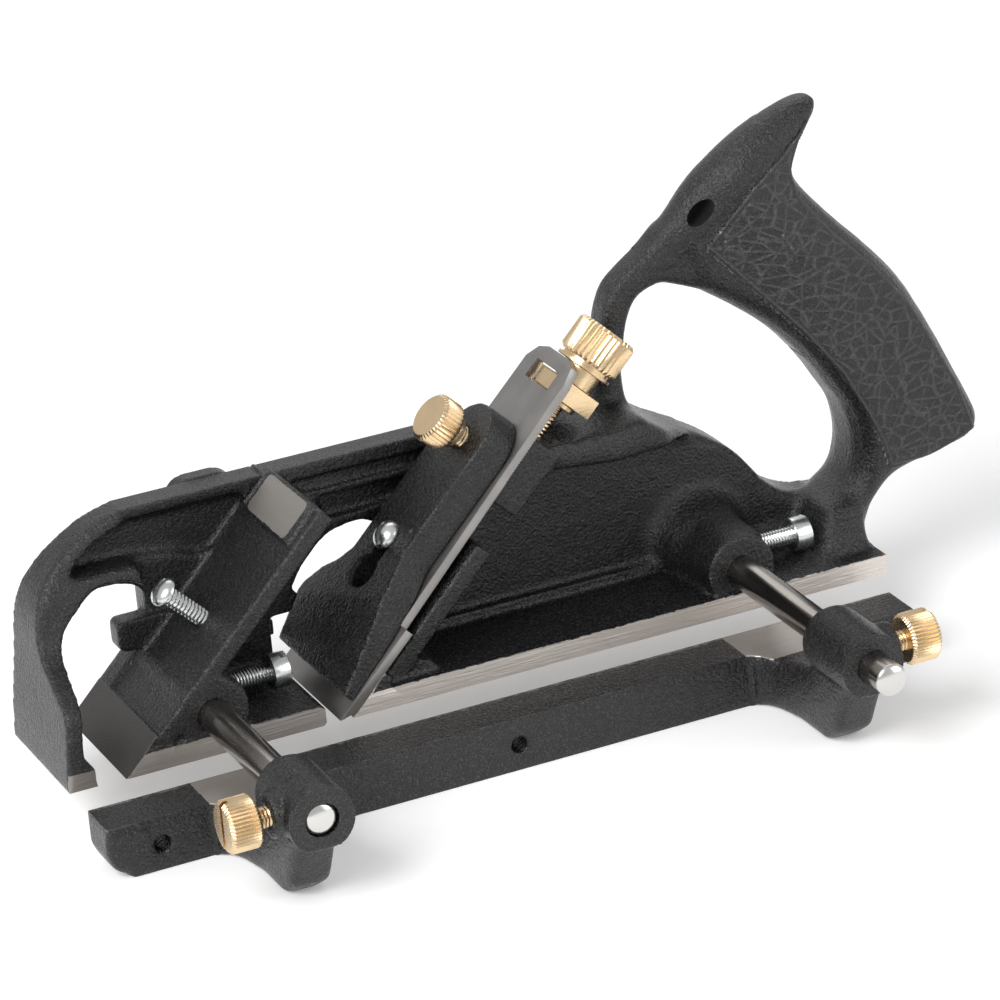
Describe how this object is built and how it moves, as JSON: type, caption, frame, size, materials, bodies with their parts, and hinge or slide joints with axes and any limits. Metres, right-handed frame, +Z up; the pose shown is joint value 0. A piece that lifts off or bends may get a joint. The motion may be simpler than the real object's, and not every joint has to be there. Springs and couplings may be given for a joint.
{
  "type": "rebate plane",
  "caption": "Cast iron rebate plane with bullnose bed, open rear handle, screw-adjusted cutter, lever cap, sliding fence on rods, depth stop and spur.",
  "frame": {"origin": "middle of the sole's length and width, on the plane of the sole", "axes": "+X from toe to heel, +Y from the fence side to the flat side, +Z up from the sole"},
  "size_m": [0.2503, 0.1301, 0.1312],
  "materials": {
    "enamel": "black enamel over a fine cast skin, soles and pads ground bare",
    "blade_steel": "matte ground tool steel",
    "rod_steel": "bright drawn steel",
    "zinc": "zinc plated",
    "brass": "turned and knurled, bare"
  },
  "bodies": {
    "plane": {"body": "enamel", "adjuster_stud": "brass"},
    "cutter": {"blade": "blade_steel", "adjuster_slide": "brass"},
    "adjuster_nut": {"adjuster_nut": "brass"},
    "lever_cap": {"lever_cap": "enamel"},
    "lever_cap_thumbscrew": {"lever_cap_thumbscrew": "brass"},
    "lever_cap_screw": {"lever_cap_screw": "zinc"},
    "bullnose_screw": {"bullnose_screw": "zinc"},
    "fence": {"fence": "enamel"},
    "fence_thumbscrew_front": {"fence_thumbscrew_front": "brass"},
    "fence_thumbscrew_rear": {"fence_thumbscrew_rear": "brass"},
    "fence_rod_front": {"fence_rod_front": "rod_steel"},
    "fence_rod_rear": {"fence_rod_rear": "rod_steel"},
    "rod_set_screw_front": {"rod_set_screw_front": "zinc"},
    "rod_set_screw_rear": {"rod_set_screw_rear": "zinc"},
    "depth_stop": {"depth_stop": "enamel"},
    "depth_stop_thumbscrew": {"depth_stop_thumbscrew": "brass", "depth_stop_washer": "zinc"},
    "spur": {"spur": "blade_steel"},
    "spur_screw": {"spur_screw": "zinc"}
  },
  "joints": [
    {"name": "cutter_advance", "type": "slide", "parent": "plane", "child": "cutter", "axis": [0.7071, 0, 0.7071], "range_m": [-0.003, 0.005]},
    {"name": "adjuster_nut_turn", "type": "hinge", "parent": "cutter", "child": "adjuster_nut", "pos_m": [0.04228, -0.0015, 0.0693], "axis": [0.7071, 0, 0.7071], "range_deg": [-1090, 1810]},
    {"name": "lever_cap_release", "type": "slide", "parent": "plane", "child": "lever_cap", "axis": [0.7071, 0, 0.7071], "range_m": [0, 0.01]},
    {"name": "lever_cap_thumbscrew_turn", "type": "hinge", "parent": "lever_cap", "child": "lever_cap_thumbscrew", "pos_m": [0.00198, -0.0015, 0.05869], "axis": [-0.7071, 0, 0.7071], "range_deg": [0, 1080]},
    {"name": "lever_cap_screw_turn", "type": "hinge", "parent": "plane", "child": "lever_cap_screw", "pos_m": [-0.01641, -0.0015, 0.03606], "axis": [-0.7071, 0, 0.7071], "range_deg": [0, 720]},
    {"name": "bullnose_screw_turn", "type": "hinge", "parent": "plane", "child": "bullnose_screw", "pos_m": [-0.07275, -0.0015, 0.03571], "axis": [-0.7071, 0, 0.7071], "range_deg": [-720, 720]},
    {"name": "fence_slide", "type": "slide", "parent": "plane", "child": "fence", "axis": [0, 1, 0], "range_m": [-0.008, 0.02]},
    {"name": "fence_thumbscrew_front_turn", "type": "hinge", "parent": "fence", "child": "fence_thumbscrew_front", "pos_m": [-0.0866, -0.074, 0.01], "axis": [-1, 0, 0], "range_deg": [0, 720]},
    {"name": "fence_thumbscrew_rear_turn", "type": "hinge", "parent": "fence", "child": "fence_thumbscrew_rear", "pos_m": [0.0859, -0.074, 0.01], "axis": [1, 0, 0], "range_deg": [0, 720]},
    {"name": "fence_rod_front_slide", "type": "slide", "parent": "plane", "child": "fence_rod_front", "axis": [0, 1, 0], "range_m": [-0.01, 0.002]},
    {"name": "fence_rod_rear_slide", "type": "slide", "parent": "plane", "child": "fence_rod_rear", "axis": [0, 1, 0], "range_m": [-0.006, 0.012]},
    {"name": "rod_set_screw_front_turn", "type": "hinge", "parent": "plane", "child": "rod_set_screw_front", "pos_m": [-0.0476, -0.004, 0.01], "axis": [1, 0, 0], "range_deg": [0, 1080]},
    {"name": "rod_set_screw_rear_turn", "type": "hinge", "parent": "plane", "child": "rod_set_screw_rear", "pos_m": [0.0909, -0.005, 0.01], "axis": [1, 0, 0], "range_deg": [0, 1080]},
    {"name": "depth_stop_slide", "type": "slide", "parent": "plane", "child": "depth_stop", "axis": [0, 0, 1], "range_m": [-0.007, 0.012]},
    {"name": "depth_stop_thumbscrew_turn", "type": "hinge", "parent": "plane", "child": "depth_stop_thumbscrew", "pos_m": [-0.053, 0.028, 0.036], "axis": [0, 1, 0], "range_deg": [0, 720]},
    {"name": "spur_turn", "type": "hinge", "parent": "plane", "child": "spur", "pos_m": [-0.0485, 0.018, 0.006], "axis": [0, 1, 0], "range_deg": [-60, 60]},
    {"name": "spur_screw_turn", "type": "hinge", "parent": "plane", "child": "spur_screw", "pos_m": [-0.0485, 0.0185, 0.006], "axis": [0, 1, 0], "range_deg": [0, 720]}
  ],
  "couplings": [
    {"joint": "adjuster_nut_turn", "follows": "cutter_advance", "rad_per_m": 6283.2}
  ]
}
